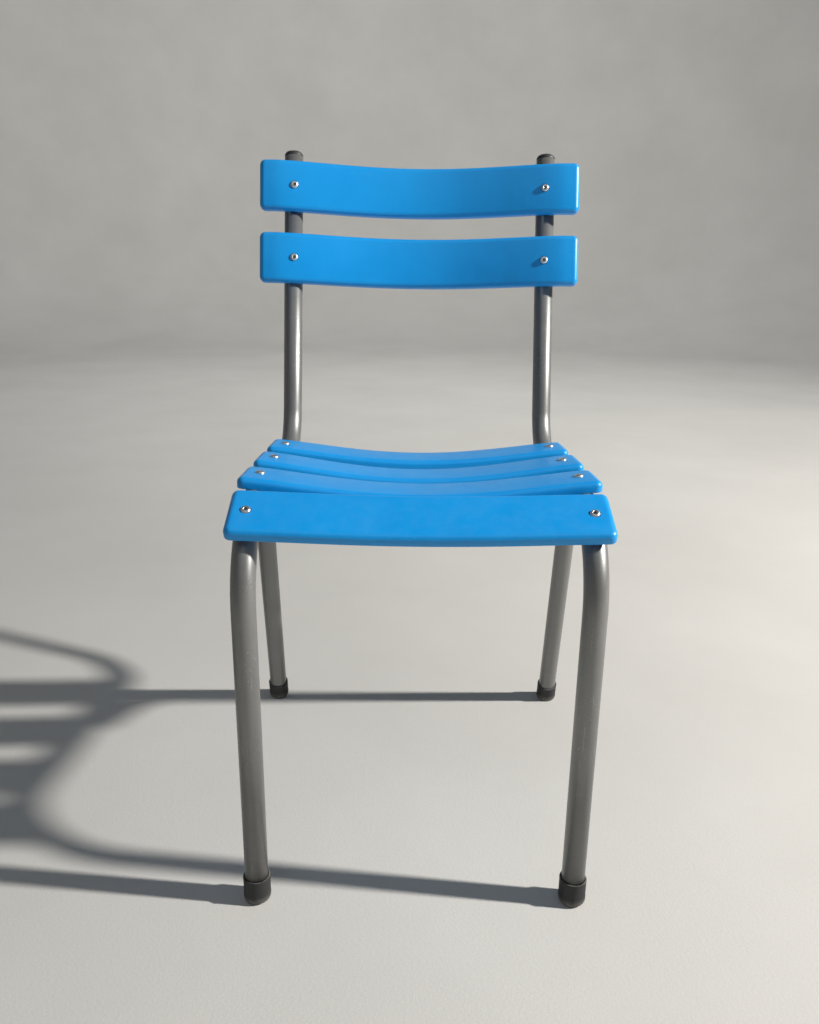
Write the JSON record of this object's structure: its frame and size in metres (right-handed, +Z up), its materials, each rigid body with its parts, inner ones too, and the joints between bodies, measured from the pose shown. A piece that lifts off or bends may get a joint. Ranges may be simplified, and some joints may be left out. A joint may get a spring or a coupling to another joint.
{
  "type": "stacking chair",
  "caption": "Armless stacking chair with bent steel tube frame, raked outboard rear legs, dished moulded seat and back slats, button-head screws and rubber ferrules.",
  "frame": {"origin": "on the floor, under the middle of the chair's outline seen from above", "axes": "+X to the chair's left-hand side as seen by someone facing it, -Y the way the sitter faces, +Z up"},
  "size_m": [0.4652, 0.5194, 0.8232],
  "materials": {
    "frame_paint": "satin metallic grey powder coat",
    "slat_plastic": "semi-matt moulded plastic, bright blue",
    "black_rubber": "matt",
    "plug_plastic": "matt moulded",
    "stainless_screws": "bright turned",
    "zinc_inserts": "zinc plated"
  },
  "bodies": {
    "root": {"side_frame_left": "frame_paint", "side_frame_right": "frame_paint", "rear_leg_left": "frame_paint", "rear_leg_right": "frame_paint", "seat_slat_1": "slat_plastic", "seat_slat_2": "slat_plastic", "seat_slat_3": "slat_plastic", "seat_slat_4": "slat_plastic", "back_slat_lower": "slat_plastic", "back_slat_upper": "slat_plastic", "foot_front_left": "black_rubber", "foot_front_right": "black_rubber", "foot_rear_left": "black_rubber", "foot_rear_right": "black_rubber", "top_plug_left": "plug_plastic", "top_plug_right": "plug_plastic", "screw_seat_slat_1_left": "stainless_screws", "screw_seat_slat_1_right": "stainless_screws", "screw_seat_slat_2_left": "stainless_screws", "screw_seat_slat_2_right": "stainless_screws", "screw_seat_slat_3_left": "stainless_screws", "screw_seat_slat_3_right": "stainless_screws", "screw_seat_slat_4_left": "stainless_screws", "screw_seat_slat_4_right": "stainless_screws", "screw_back_slat_lower_left": "stainless_screws", "screw_back_slat_lower_right": "stainless_screws", "screw_back_slat_upper_left": "stainless_screws", "screw_back_slat_upper_right": "stainless_screws", "insert_seat_slat_1_left": "zinc_inserts", "insert_seat_slat_1_right": "zinc_inserts", "insert_seat_slat_2_left": "zinc_inserts", "insert_seat_slat_2_right": "zinc_inserts", "insert_seat_slat_3_left": "zinc_inserts", "insert_seat_slat_3_right": "zinc_inserts", "insert_seat_slat_4_left": "zinc_inserts", "insert_seat_slat_4_right": "zinc_inserts", "insert_back_slat_lower_left": "zinc_inserts", "insert_back_slat_lower_right": "zinc_inserts", "insert_back_slat_upper_left": "zinc_inserts", "insert_back_slat_upper_right": "zinc_inserts"}
  },
  "joints": []
}
